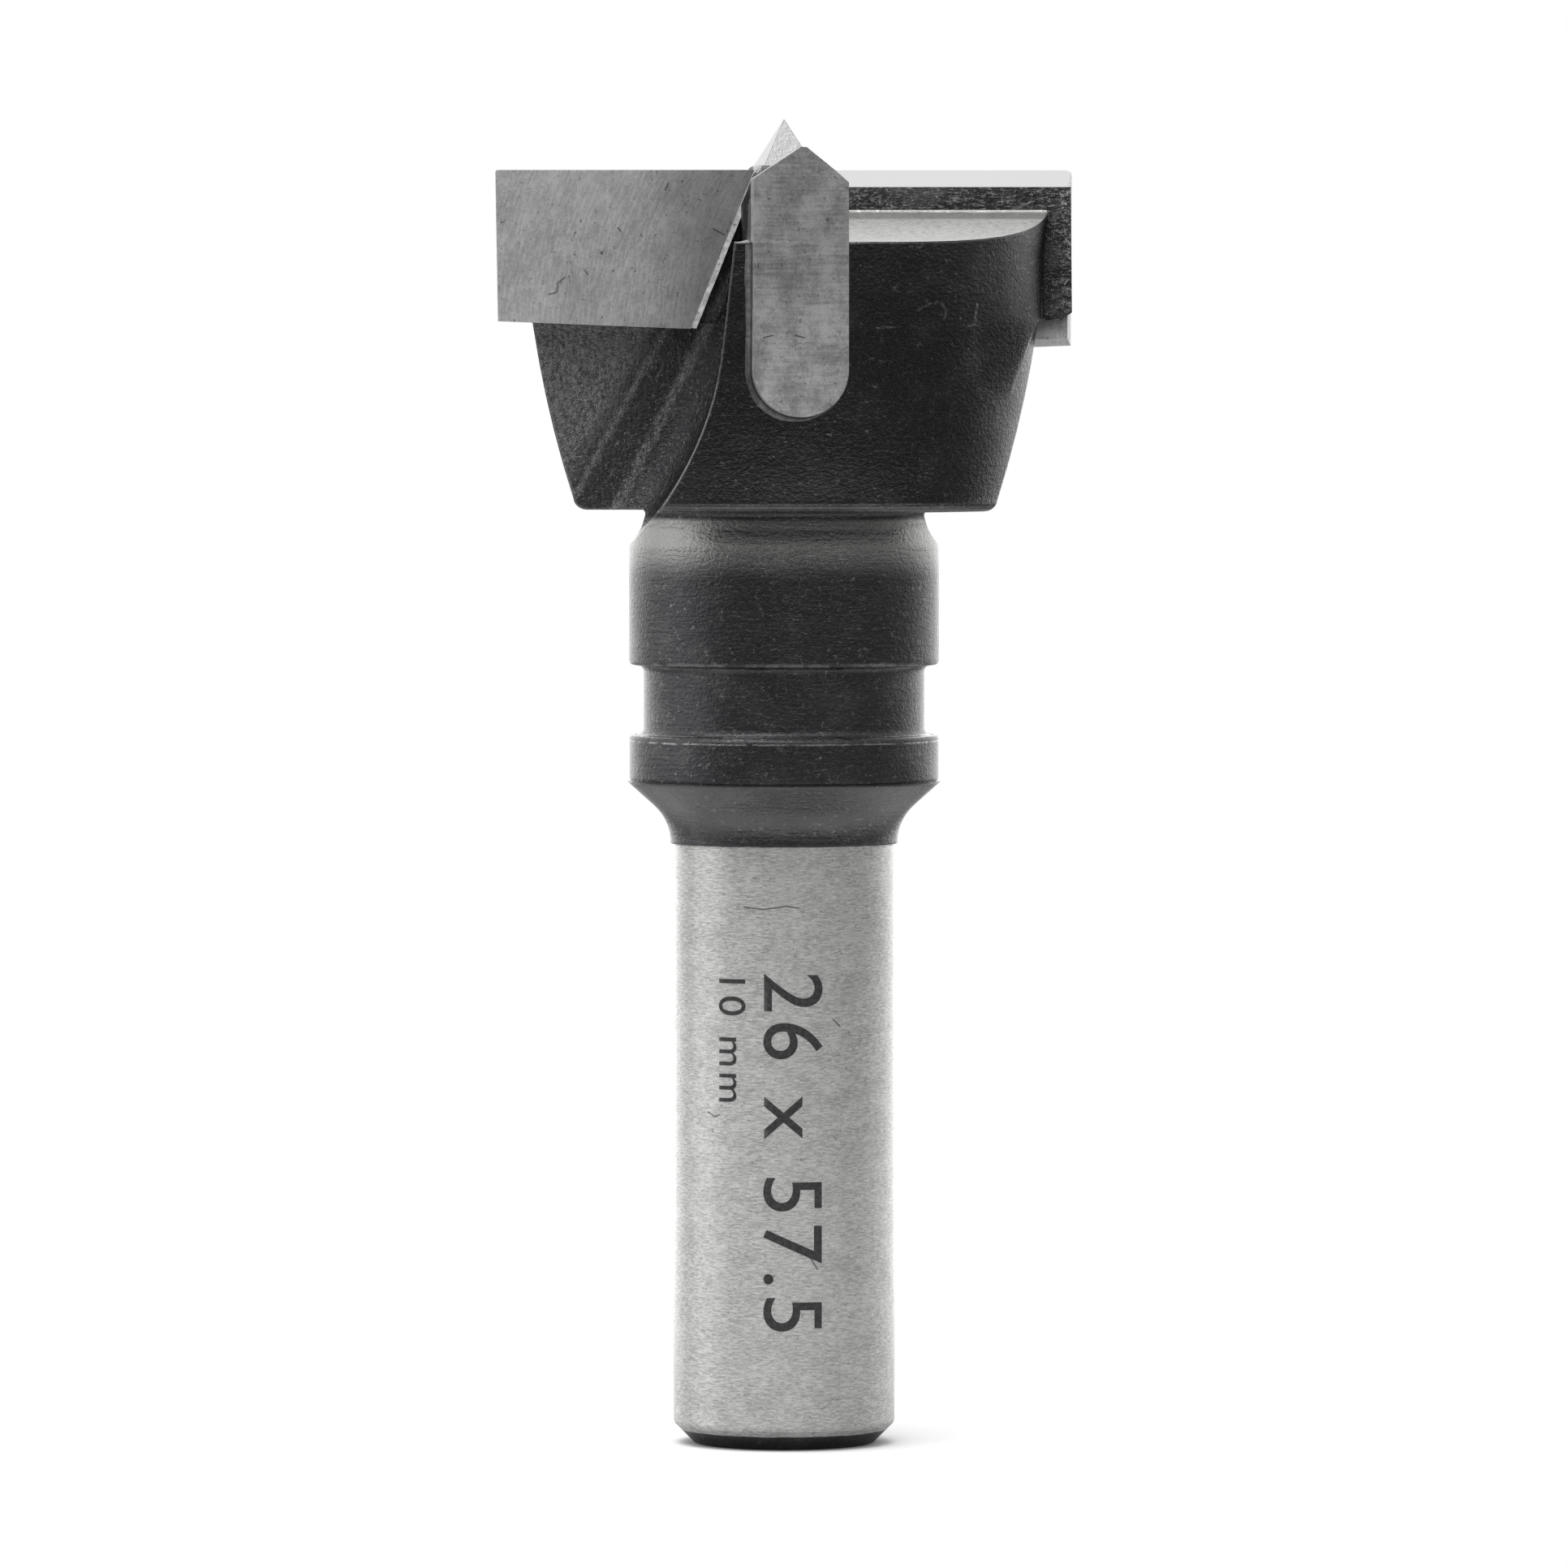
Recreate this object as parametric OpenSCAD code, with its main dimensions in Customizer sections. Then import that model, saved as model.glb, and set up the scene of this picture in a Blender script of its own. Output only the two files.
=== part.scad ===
// Brazed boring bit: turned steel body, two cutting plates, two spurs and a centre point.
// Z runs from the shank end to the tip. X lies along the cutting edges.

/* [Cutting circle] */
// Diameter of the bored hole
bore_d = 26; // [25:0.5:28]
// Height of the cutting edges above the shank end
edge_h = 57.5; // [56.5:0.5:60]

/* [Shank] */
// Diameter of the shank
shank_d = 10; // [9:0.5:11]
// Length of the ground shank
shank_l = 27.14; // [24:0.02:28]
// Chamfer at the shank end
shank_chamfer = 0.95; // [0.5:0.05:1.5]
// Depth of the clamping flat
flat_depth = 0.9; // [0.5:0.05:1.4]
// Length of the clamping flat
flat_l = 12.2; // [8:0.1:12.5]
// Slope of the flat's end against the shank axis
flat_run_out = 45; // [30:1:60]

/* [Neck] */
// Extra radius of the black root over the shank
root_step = 0.12; // [0.05:0.01:0.2]
// Root's part of the neck's length, which root, collar, groove and band share out
root_part = 2.78; // [2.5:0.02:3]
// Collar's part of the neck's length
collar_part = 2.13; // [1.8:0.01:2.4]
// Groove's part of the neck's length
groove_part = 3.15; // [2.8:0.05:3.6]
// Band's part of the neck's length
band_part = 6.95; // [6.5:0.05:7.5]
// Outer radius of the collar
collar_r = 6.98; // [6.6:0.02:7.4]
// Radius at the bottom of the groove
groove_r = 6.34; // [6:0.02:6.5]
// Outer radius of the band
band_r = 7; // [6.8:0.02:7.4]
// Drop from the head's underside to the deepest place of the undercut
undercut_drop = 0.79; // [0.55:0.02:1]
// Depth of the undercut below the head
undercut_depth = 0.18; // [0.1:0.01:0.3]
// Radius of the root flare over the root's height
flare_ratio = 0.83; // [0.6:0.01:0.85]
// Steepest lean of the root flare
flare_lean = 48; // [40:1:50]
// Rounding of the edges of collar and band
neck_edge_r = 0.2; // [0.1:0.05:0.3]
// Fillet at the bottom of the groove
groove_fillet = 0.3; // [0.1:0.05:0.4]
// Fillet between the undercut and the head
under_fillet = 0.25; // [0.1:0.05:0.3]

/* [Head] */
// Height of the head from its underside to the cutting edges
head_l = 15.35; // [14.5:0.05:15.6]
// Largest radius of the turned head
head_r = 12; // [11.6:0.05:12.2]
// Radius of the barrel-shaped flank
flank_r = 56; // [45:1:80]
// Rounding of the head's lower edge
head_edge_r = 0.55; // [0.3:0.05:0.8]
// Drop from the cutting edges to the lowest line of the ledge
ledge_drop = 3.37; // [2.5:0.02:4.5]
// Radius of the wheel that ground the ledge
ledge_r = 35; // [25:1:60]
// Drop from the cutting edges to the foot of the backing rib
rib_foot_drop = 6.78; // [5.5:0.02:7.5]
// Drop from the cutting edge to the top of the backing rib
rib_drop = 0.78; // [0.7:0.02:1]
// Thickness of the backing rib at its foot
rib_foot_t = 0.95; // [0.7:0.05:1.3]
// Inward slope of the rib's outer side
rib_side_slope = 4.1; // [2:0.1:6]
// Fillet between the rib and the turned head
rib_fillet_r = 0.6; // [0.3:0.05:0.9]
// Fillet between the rib and the ledge
foot_fillet_r = 0.45; // [0.2:0.05:0.6]
// Distance of the rib's outer side inside the cutting circle
rib_side_gap = 0.09; // [0.05:0.01:0.3]
// Width of the slanted toe under the rib
rib_toe = 0.5; // [0.3:0.05:0.8]
// Slant of the rib's toe against the axis
rib_toe_lean = 35; // [20:1:45]

/* [Gullets] */
// Gullet corner's distance left of the axis, gullet_drop below the cutting edges
gullet_x = 1.87; // [1.5:0.01:2.3]
// Drop from the cutting edges to the level where gullet_x is measured
gullet_drop = 7.5; // [7:0.1:8]
// Lean of the gullet corner against the axis
gullet_lean = 23; // [18:0.5:26]
// Heel edge's distance left of the axis at the ledge
heel_x = 2.24; // [2:0.01:2.6]
// Lean of the heel edge against the axis
heel_lean = 6.4; // [4:0.1:9]
// Radius of the fillet in the gullet corner
gullet_fillet = 2; // [1.2:0.05:2.3]
// Lean of the gullet wall below the plates
wall_lean = 7; // [5:0.5:10]
// Drop from the cutting edges to where the wall's lean changes
wall_drop = 7.1; // [6.9:0.1:8]
// Drop from the cutting edges to where the corner starts to bend outward
corner_bend_drop = 12; // [11:0.1:12.5]
// Drop from the cutting edges to where the heel edge starts to bend outward
heel_bend_drop = 8.5; // [7.5:0.1:9.5]

/* [Cutting plates] */
// Thickness of a cutting plate
plate_t = 1.6; // [1.4:0.05:1.9]
// Rake of the cutting plates
rake = 12; // [8:0.5:15]
// Lead of the cutting edges over the middle plane
edge_lead = 0.7; // [0.5:0.02:0.9]
// Length of the left plate along its rake face
left_plate_l = 7.31; // [6.8:0.01:7.7]
// Length of the right plate along its rake face
right_plate_l = 8.42; // [7.8:0.01:8.8]
// Inner end of the cutting edge from the axis
edge_inner_x = 1.34; // [1.3:0.01:1.6]
// Lean of a plate's inner end
inner_lean = 21.5; // [18:0.5:24]
// Slope of a plate's lower end
lower_slope = 2.3; // [0:0.1:4]
// Clearance angle behind the cutting edges
top_clearance = 24.6; // [15:0.1:28]
// Clearance angle on a plate's outer side
side_clearance = 7; // [4:0.5:10]
// Taper of a plate's outer side away from the tip
back_taper = 0.6; // [0.2:0.1:1.5]
// Rounding of the left plate's outer upper corner
left_corner_r = 0.12; // [0.05:0.01:0.3]
// Rounding of the right plate's outer upper corner
right_corner_r = 0.3; // [0.05:0.01:0.5]
// Gap between a plate's inner end and the pocket wall
pocket_gap = 1.15; // [0.6:0.05:1.3]
// Reach of a pocket in front of its plate
pocket_front = 2.2; // [2:0.1:3]

/* [Spurs] */
// Width of a spur
spur_w = 4.2; // [3.6:0.05:4.6]
// Thickness of a spur
spur_t = 2.2; // [1.8:0.05:2.4]
// Length of a spur below the level of the cutting edges
spur_l = 11.1; // [10:0.05:12]
// Rise of a spur's peak over the cutting edges
spur_rise = 0.82; // [0.5:0.01:1.2]
// Sideways place of the peak on the spur
spur_peak_x = 0.13; // [-0.5:0.01:0.5]
// Slope of the spur's leading edge
spur_lead_slope = 32.4; // [25:0.1:40]
// Slope of the spur's trailing edge
spur_trail_slope = 37.8; // [30:0.1:42]
// Turn of a spur around the axis from the square position
spur_turn = 3.4; // [0:0.1:8]
// Solder gap around a spur
spur_gap = 0.04; // [0.02:0.01:0.1]
// Height of the steel lug behind a spur, above the ledge
lug_h = 1.9; // [1.2:0.05:2.3]
// Thickness of the steel lug behind a spur
lug_t = 1.5; // [1:0.05:2]

/* [Centre point] */
// Rise of the point over the cutting edges
point_rise = 2.3; // [1.8:0.05:3]
// Width of the square pin
pin_w = 2.5; // [2:0.05:2.6]
// Half angle of the point across its flats
point_angle = 28.7; // [24:0.1:34]
// Turn of the square pin around the axis
pin_turn = 12; // [0:1:40]
// Radius of the steel core around the pin
core_r = 1.98; // [1.9:0.01:2.3]
// Depth of the pin's hole below the cutting edges
pin_depth = 7.5; // [6:0.1:9]
// Solder gap around the pin
pin_gap = 0.03; // [0.02:0.01:0.08]
// Rise of the steel core over the cutting edges
core_rise = 0.42; // [0.2:0.02:0.6]
// Steel left around the pin's ground point
core_wall = 0.12; // [0.08:0.01:0.2]

/* [Hidden] */
$fn = 96;
bore_r = bore_d / 2;
shank_r = shank_d / 2;
root_r = shank_r + root_step;
over = 1;
far = bore_d;
sink = 0.02;
// Levels of the head, all measured down from the cutting edges
head_z = edge_h - head_l;
ledge_z = edge_h - ledge_drop;
rib_z = edge_h - rib_foot_drop;
wall_z = edge_h - wall_drop;
spur_z = edge_h - spur_l;
// Levels of the neck, which fills the height between shank and head
neck_k = (head_z - shank_l) / (root_part + collar_part + groove_part + band_part);
collar_z = shank_l + neck_k * root_part;
groove_z = collar_z + neck_k * collar_part;
band_z = groove_z + neck_k * groove_part;
undercut_z = head_z - undercut_drop;
flare_r = flare_ratio * (collar_z - shank_l);
// Turned head: flank arc with its widest place near the cutting edges
widest_drop = 0.5;
flank_z = edge_h - widest_drop;
head_top = edge_h + widest_drop;
// Seat of a cutting plate, measured from the middle plane at the cutting edge's level
seat_y = plate_t / cos(rake) - edge_lead;
rib_top_z = edge_h - rib_drop;
rib_top_y = seat_y + (edge_h - rib_top_z) * tan(rake);
rib_foot_y = seat_y + (edge_h - rib_z) * tan(rake) + rib_foot_t;
rib_slope = atan((rib_foot_y - rib_top_y) / (rib_top_z - rib_z));
ledge_rim = 0.4;
ledge_low_y = flank(ledge_z) - ledge_rim;
wall_gap = 0.06;
spur_reach = sqrt(bore_r * bore_r - spur_w * spur_w / 4);
spur_peak_z = edge_h + spur_rise;
point_z = edge_h + point_rise;
// Strength of the outward bends of the gullet
corner_bend = 0.05;
heel_bend = 0.042;

function flank(z) = head_r - flank_r + sqrt(pow(flank_r, 2) - pow(flank_z - z, 2));
function arc(cx, cy, r, a0, a1, n) =
    [for (i = [0:n]) let (a = a0 + (a1 - a0) * i / n) [cx + r * cos(a), cy + r * sin(a)]];

// Half outline of shank, root, collar, groove, band and head
module turned_outline() {
    edge = neck_edge_r;
    soft = 0.17;
    fade = undercut_drop / 2;
    flank_low = head_z + head_edge_r;
    flare_end = min(flare_lean, acos(max(-1, 1 - (collar_r - root_r) / flare_r)));
    flare_x = root_r + flare_r * (1 - cos(flare_end));
    flare_z = shank_l + flare_r * sin(flare_end);
    polygon(concat(
        [[0, 0], [shank_r - shank_chamfer - soft / 2, 0]],
        [[shank_r - shank_chamfer + soft / 3, soft / 3], [shank_r - soft / 3, shank_chamfer - soft / 3]],
        [[shank_r, shank_chamfer + soft / 2], [shank_r, shank_l], [root_r, shank_l]],
        arc(root_r + flare_r, shank_l, flare_r, 180, 180 - flare_end, 8),
        [[flare_x + (collar_z - flare_z) * tan(flare_end), collar_z]],
        arc(collar_r - edge, collar_z + edge, edge, -90, 0, 3),
        arc(collar_r - edge, groove_z - edge, edge, 0, 90, 3),
        arc(groove_r + groove_fillet, groove_z + groove_fillet, groove_fillet, 270, 180, 4),
        arc(groove_r + groove_fillet, band_z - groove_fillet, groove_fillet, 180, 90, 4),
        arc(band_r - edge, band_z + edge, edge, -90, 0, 3),
        [[band_r, undercut_z - 2 * fade], [band_r - undercut_depth / 2, undercut_z - fade]],
        [[band_r - undercut_depth, undercut_z], [band_r - undercut_depth, head_z - under_fillet]],
        arc(band_r - undercut_depth + under_fillet, head_z - under_fillet, under_fillet, 180, 90, 4),
        arc(flank(flank_low) - head_edge_r, flank_low, head_edge_r, -90, 0, 5),
        [for (i = [1:10]) let (z = flank_low + (head_top - flank_low) * i / 10) [flank(z), z]],
        [[0, head_top]]
    ));
}

function rib_y(z) = rib_top_y + (rib_top_z - z) * tan(rib_slope);
function ledge_at(y) = ledge_z + ledge_r - sqrt(pow(ledge_r, 2) - pow(ledge_low_y - y, 2));
// Fillet circle that touches the rib face and the ledge: its height, found by halving
function foot_gap(z) = norm([ledge_low_y - rib_y(z) - foot_fillet_r / cos(rib_slope), ledge_z + ledge_r - z])
    - (ledge_r - foot_fillet_r);
function foot_seek(a, b, n) = n == 0 ? (a + b) / 2
    : foot_gap((a + b) / 2) > 0 ? foot_seek((a + b) / 2, b, n - 1) : foot_seek(a, (a + b) / 2, n - 1);

// What the wheel takes off above the hollow-ground ledge, seen along the cutting edge
module ledge_outline() {
    polygon(concat(
        [for (i = [0:10]) let (y = ledge_low_y * i / 10 - sink) [y, ledge_at(y)]],
        [[far, ledge_z], [far, head_top + over], [-sink, head_top + over]]
    ));
}

// Fillet between the ledge and the rib, seen along the cutting edge
module foot_outline() {
    fz = foot_seek(ledge_z, rib_top_z, 30);
    fy = rib_y(fz) + foot_fillet_r / cos(rib_slope);
    to_arc = 360 + atan2(fz - ledge_z - ledge_r, fy - ledge_low_y);
    lip = 0.1;
    corner = [rib_y(ledge_z), ledge_z];
    polygon(concat(
        [corner - [over, 0], [rib_y(fz) - over, fz + lip]],
        arc(fy, fz, foot_fillet_r + sink, 180 + rib_slope, to_arc, 6),
        [[fy + lip, ledge_z]]
    ));
}

// Grinds the ledge behind the left plate
module ledge_grind() {
    translate([-far, 0, 0]) rotate([90, 0, 90]) linear_extrude(2 * far) ledge_outline();
}

// Backing of the left plate: rib and fillet at its foot
module backing() {
    intersection() {
        translate([-far, 0, 0]) rotate([90, 0, 90]) linear_extrude(far) foot_outline();
        translate([0, 0, ledge_z - over]) cylinder(r = flank(ledge_z + over) - 2.5 * sink, h = 3 * over);
    }
    rib();
}

// Backing rib with its fillet to the turned flank
module rib() {
    side_x = bore_r - rib_side_gap;
    mid_z = (rib_z + rib_top_z) / 2;
    flank_mid = flank(mid_z);
    rib_mid_y = (rib_top_y + rib_foot_y) / 2;
    fill_y = rib_mid_y + rib_fillet_r;
    fill_x = sqrt(pow(flank_mid + rib_fillet_r, 2) - fill_y * fill_y);
    touch = flank_mid / (flank_mid + rib_fillet_r);
    touch_y = fill_y * touch - rib_mid_y;
    back = 0.3;
    difference() {
        intersection() {
            rotate([90, 0, -90]) linear_extrude(side_x)
                polygon([[-rib_top_y, rib_top_z], [-rib_foot_y, rib_z], [over, rib_z], [over, rib_top_z]]);
            translate([-side_x, -far / 2, rib_top_z - far]) rotate([0, -rib_side_slope, 0])
                translate([0, 0, -over]) cube([far, far, far + 2 * over]);
        }
        translate([-side_x + rib_toe, -far / 2, rib_z]) rotate([0, rib_toe_lean, 0])
            translate([-far, 0, -far]) cube([far, far, far]);
    }
    intersection() {
        translate([0, rib_mid_y, mid_z]) rotate([rib_slope, 0, 0]) translate([0, 0, -far / 2])
            linear_extrude(far) difference() {
                polygon([
                    [-fill_x - back, -back], [-fill_x - back, rib_fillet_r],
                    [-fill_x * touch, touch_y + back / 3], [-flank_mid + 2, touch_y + back / 3],
                    [-flank_mid + 2, -back]
                ]);
                translate([-fill_x, rib_fillet_r]) circle(rib_fillet_r + sink);
            }
        translate([-far / 2, 0, rib_z + 2 * sink]) cube([far, far, ledge_z + over - rib_z]);
    }
}

// Places a cutting plate's own frame: rake face in its XZ plane, cutting edge on its X axis
module rake_frame() {
    translate([0, -edge_lead, edge_h]) rotate([rake, 0, 0]) children();
}

// Chip gullet in front of the left plate, lofted through level sections
module gullet() {
    z0 = head_z - 2.4 * over;
    levels = 26;
    steps = 10;
    function bend(z, from, k) = k * pow(max(0, from - z), 2);
    function wall_y(z) = seat_y - wall_gap + (edge_h - max(z, wall_z)) * tan(rake)
        + max(0, wall_z - z) * tan(wall_lean);
    function corner_x(z) = -gullet_x + (z - edge_h + gullet_drop) * tan(gullet_lean)
        - bend(z, edge_h - corner_bend_drop, corner_bend);
    function heel(z) = -heel_x + (z - ledge_z) * tan(heel_lean) - bend(z, edge_h - heel_bend_drop, heel_bend);
    function section(z) = let (
        wy = wall_y(z), cx = corner_x(z), hx = heel(z), hy = -head_r,
        turn = atan2(hx - cx, wy - hy), half = (90 + turn) / 2,
        tangent = gullet_fillet / tan(half),
        mx = cx - tangent, my = wy - gullet_fillet
    ) concat(
        [[-far, -far, z], [hx + (hx - cx) / (wy - hy) * (far + hy), -far, z], [hx, hy, z]],
        [for (i = [0:steps]) let (a = turn + (90 - turn) * i / steps)
            [mx + gullet_fillet * cos(a), my + gullet_fillet * sin(a), z]],
        [[-far, wy, z]]
    );
    n = steps + 5;
    top = head_top + over;
    rings = [for (k = [0:levels]) section(z0 + (top - z0) * k / levels)];
    polyhedron(
        points = [for (ring = rings) each ring],
        faces = concat(
            [[for (i = [0:n - 1]) i]],
            [for (k = [0:levels - 1], i = [0:n - 1]) let (a = k * n, j = (i + 1) % n)
                [a + i, a + n + i, a + n + j, a + j]],
            [[for (i = [n - 1:-1:0]) levels * n + i]]
        )
    );
}

// Outline of a plate's rake face; extra widens it to the pocket's outline
module plate_outline(length, extra, rounding) {
    reach = bore_r - length * tan(back_taper);
    inner = edge_inner_x + length * tan(inner_lean);
    drop = (reach - inner) * tan(lower_slope);
    polygon(concat(
        [extra > 0 ? [extra - edge_inner_x + over * tan(inner_lean), over] : [-edge_inner_x, 0]],
        extra > 0 ? [[-far, over], [-far, -length + drop + (far - reach) * tan(lower_slope)]] : concat(
            arc(-bore_r + rounding, -rounding, rounding, 90, 180, 4),
            [[-reach, -length + drop]]
        ),
        [[-inner + extra, -length - extra * tan(lower_slope)]]
    ));
}

// Pocket that seats a plate
module plate_pocket(length) {
    rake_frame() translate([0, plate_t, 0]) rotate([90, 0, 0])
        linear_extrude(plate_t + pocket_front) plate_outline(length, pocket_gap, 0);
}

// Carbide plate with its top and side clearance
module plate(length, rounding) {
    difference() {
        rake_frame() translate([0, plate_t, 0]) rotate([90, 0, 0])
            linear_extrude(plate_t) plate_outline(length, 0, rounding);
        translate([-far, -edge_lead, edge_h]) rotate([-top_clearance, 0, 0]) cube([2 * far, far, far]);
        rake_frame() translate([-bore_r, 0, 0]) rotate([0, -back_taper, -side_clearance])
            translate([-far, 0, -far]) cube([far, far, 2 * far]);
        pin_prism(pin_gap + sink);
    }
}

// Frame of the front spur: its outer face looks along -Y
module spur_frame() {
    rotate([0, 0, spur_turn]) children();
}

// Front view of a spur, or of its slot when widened by gap
module spur_outline(gap) {
    r = spur_w / 2;
    lead_z = spur_peak_z - (spur_peak_x + r) * tan(spur_lead_slope);
    bend_x = 0.72 * r;
    nib = 0.12;
    bend_z = spur_peak_z - (bend_x - spur_peak_x) * tan(spur_trail_slope);
    polygon(concat(
        arc(0, spur_z + r, r + gap, 180, 360, 24),
        gap > 0 ? [[r + gap, spur_peak_z + over], [-r - gap, spur_peak_z + over]] : [
            [r, bend_z - (r - bend_x) * tan(spur_trail_slope + 4)],
            [bend_x, bend_z],
            [spur_peak_x + nib, spur_peak_z - nib / 2.4],
            [spur_peak_x - nib, spur_peak_z - nib / 4],
            [-r, lead_z]
        ]
    ));
}

// Scoring spur at the front of the head
module spur() {
    spur_frame() translate([0, spur_t - spur_reach, 0]) rotate([90, 0, 0])
        linear_extrude(spur_t) spur_outline(0);
}

// Slot that seats the front spur
module spur_slot() {
    spur_frame() translate([0, spur_t - spur_reach, 0]) rotate([90, 0, 0])
        linear_extrude(far) spur_outline(spur_gap);
}

// Steel lug that backs the front spur above the ledge
module spur_lug() {
    back = spur_reach - spur_t;
    width = spur_w + 2 * spur_gap;
    spur_frame() rotate([90, 0, -90]) translate([0, 0, -width / 2]) linear_extrude(width)
        polygon([
            [back, ledge_z - over], [back, ledge_z + lug_h], [back - lug_t, ledge_z + 0.8 * lug_h],
            [back - lug_t - 0.75 * lug_h, ledge_z - over]
        ]);
}

// Square pin of the centre point, widened by gap
module pin_prism(gap) {
    w = pin_w + 2 * gap;
    rotate([0, 0, pin_turn]) translate([-w / 2, -w / 2, edge_h - pin_depth])
        cube([w, w, pin_depth + point_rise + over]);
}

// Takes away what stands outside the four ground flats of the point
module point_grind(grow) {
    for (i = [0:3])
        rotate([0, 0, pin_turn + 90 * i]) translate([0, -far / 2, point_z + grow / tan(point_angle)])
            rotate([0, -point_angle, 0]) translate([0, 0, -far]) cube([far, far, 2 * far]);
}

// Steel core that holds the pin between the plates
module core() {
    difference() {
        translate([0, 0, wall_z - 2 * over]) cylinder(r = core_r, h = wall_drop + core_rise + 2 * over);
        point_grind(core_wall);
        plate_room(left_plate_l);
        half_turn() plate_room(right_plate_l);
    }
}

// Room for a plate beside the core, running into the steel behind its seat
module plate_room(length) {
    rake_frame() translate([0, plate_t + 5 * sink, 0]) rotate([90, 0, 0])
        linear_extrude(plate_t + pocket_front) plate_outline(length, pin_gap, 0);
}

// Clamping flat on the back of the shank
module shank_flat() {
    reach = flat_depth + over;
    translate([-far / 2, 0, 0]) rotate([90, 0, 90]) linear_extrude(far)
        translate([shank_r - flat_depth, 0]) polygon([
            [0, -over], [reach, -over], [reach, flat_l + reach / tan(flat_run_out)], [0, flat_l]
        ]);
}

module half_turn() {
    rotate([0, 0, 180]) children();
}

// One-piece steel body: shank, neck, head, ribs, lugs and core
module body() {
    color("dimgray") difference() {
        union() {
            difference() {
                union() {
                    difference() {
                        rotate_extrude() turned_outline();
                        ledge_grind();
                        half_turn() ledge_grind();
                    }
                    backing();
                    half_turn() backing();
                    spur_lug();
                    half_turn() spur_lug();
                }
                gullet();
                half_turn() gullet();
                plate_pocket(left_plate_l);
                half_turn() plate_pocket(right_plate_l);
            }
            core();
        }
        spur_slot();
        half_turn() spur_slot();
        pin_prism(pin_gap);
        shank_flat();
    }
}

module cutting_plate_left() {
    color("silver") plate(left_plate_l, left_corner_r);
}

module cutting_plate_right() {
    color("silver") half_turn() plate(right_plate_l, right_corner_r);
}

module spur_front() {
    color("gainsboro") spur();
}

module spur_rear() {
    color("gainsboro") half_turn() spur();
}

module centre_point() {
    color("white") difference() {
        pin_prism(0);
        point_grind(0);
    }
}

body();
cutting_plate_left();
cutting_plate_right();
spur_front();
spur_rear();
centre_point();
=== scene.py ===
import math
from functools import partial

import bmesh
import bpy
from mathutils import Matrix, Vector


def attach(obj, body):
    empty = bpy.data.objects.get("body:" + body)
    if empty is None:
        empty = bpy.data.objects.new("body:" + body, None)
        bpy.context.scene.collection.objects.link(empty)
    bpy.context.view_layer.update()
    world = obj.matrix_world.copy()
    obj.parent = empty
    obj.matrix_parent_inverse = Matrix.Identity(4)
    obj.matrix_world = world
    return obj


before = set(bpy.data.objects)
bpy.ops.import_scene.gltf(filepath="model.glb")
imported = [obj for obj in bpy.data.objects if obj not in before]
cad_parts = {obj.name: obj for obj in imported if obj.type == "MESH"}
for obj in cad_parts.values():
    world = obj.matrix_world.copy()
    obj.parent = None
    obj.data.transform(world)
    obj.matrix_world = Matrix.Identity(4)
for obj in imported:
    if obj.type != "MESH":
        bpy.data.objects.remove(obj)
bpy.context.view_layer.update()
mm = 0.001
print("frame loaded")


# Node trees: each short name stands for a node, the inputs its values go to, the output used, and settings

nodeKinds = {
    # 0 at the first place and 1 at the second, which may be the lower one
    "rise": ("MapRange", (0, 1, 2), 0, {"interpolation_type": "SMOOTHSTEP"}),
    "clampedDivide": ("Math", (0, 1), 0, {"operation": "DIVIDE", "use_clamp": True}),
    "mixValue": ("Mix", (0, 2, 3), 0, {"data_type": "FLOAT"}),
    "mixColour": ("Mix", (0, 6, 7), 2, {"data_type": "RGBA"}),
    "stretch": ("VectorMath", (0, 1), 0, {"operation": "MULTIPLY"}),
    "unit": ("VectorMath", (0,), 0, {"operation": "NORMALIZE"}),
    "dot": ("VectorMath", (0, 1), "Value", {"operation": "DOT_PRODUCT"}),
    "join": ("CombineXYZ", (0, 1, 2), 0, {}),
    "split": ("SeparateXYZ", (0,), None, {}),
    "objectPlace": ("TexCoord", (), "Object", {}),
    "direction": ("TexCoord", (), "Generated", {}),
    "normal": ("NewGeometry", (), "Normal", {}),
    "cameraRay": ("LightPath", (), "Is Camera Ray", {}),
    "transmissionRay": ("LightPath", (), "Is Transmission Ray", {}),
    "mapping": ("Mapping", ("Vector", "Rotation", "Scale"), 0, {}),
    "noise": ("TexNoise", ("Vector", "Scale", "Detail", "Roughness"), 0, {}),
    "ramp": ("ValToRGB", (0,), 0, {}),
    "bevel": ("Bevel", ("Radius",), 0, {}),
    "bump": ("Bump", ("Height", "Strength", "Distance", "Normal"), 0, {}),
    "principled": ("BsdfPrincipled", (), 0, {}),
    "emission": ("Emission", (), 0, {}),
    "mixShader": ("MixShader", (0, 1, 2), 0, {}),
    "background": ("Background", ("Color", "Strength"), 0, {}),
    "materialOutput": ("OutputMaterial", ("Surface",), None, {}),
    "worldOutput": ("OutputWorld", ("Surface",), None, {}),
}
for operation in ("ADD", "SUBTRACT", "MULTIPLY", "MULTIPLY_ADD", "MAXIMUM",
                  "ABSOLUTE", "SIGN", "SQRT", "ARCTAN2"):
    nodeKinds[operation.lower()] = ("Math", (0, 1, 2), 0, {"operation": operation})


# one node: values and links go to its inputs in turn, and those in more by the input's name
def addNode(tree, name, *values, more=None, **settings):
    kind, inputs, output, usual = nodeKinds[name]
    node = tree.nodes.new("ShaderNode" + kind)
    for key, value in {**usual, **settings}.items():
        setattr(node, key, value)
    for key, value in [*zip(inputs, values), *(more or {}).items()]:
        if isinstance(value, bpy.types.NodeSocket):
            tree.links.new(value, node.inputs[key])
        else:
            node.inputs[key].default_value = value
    return node.outputs if output is None else node.outputs[output]


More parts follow.
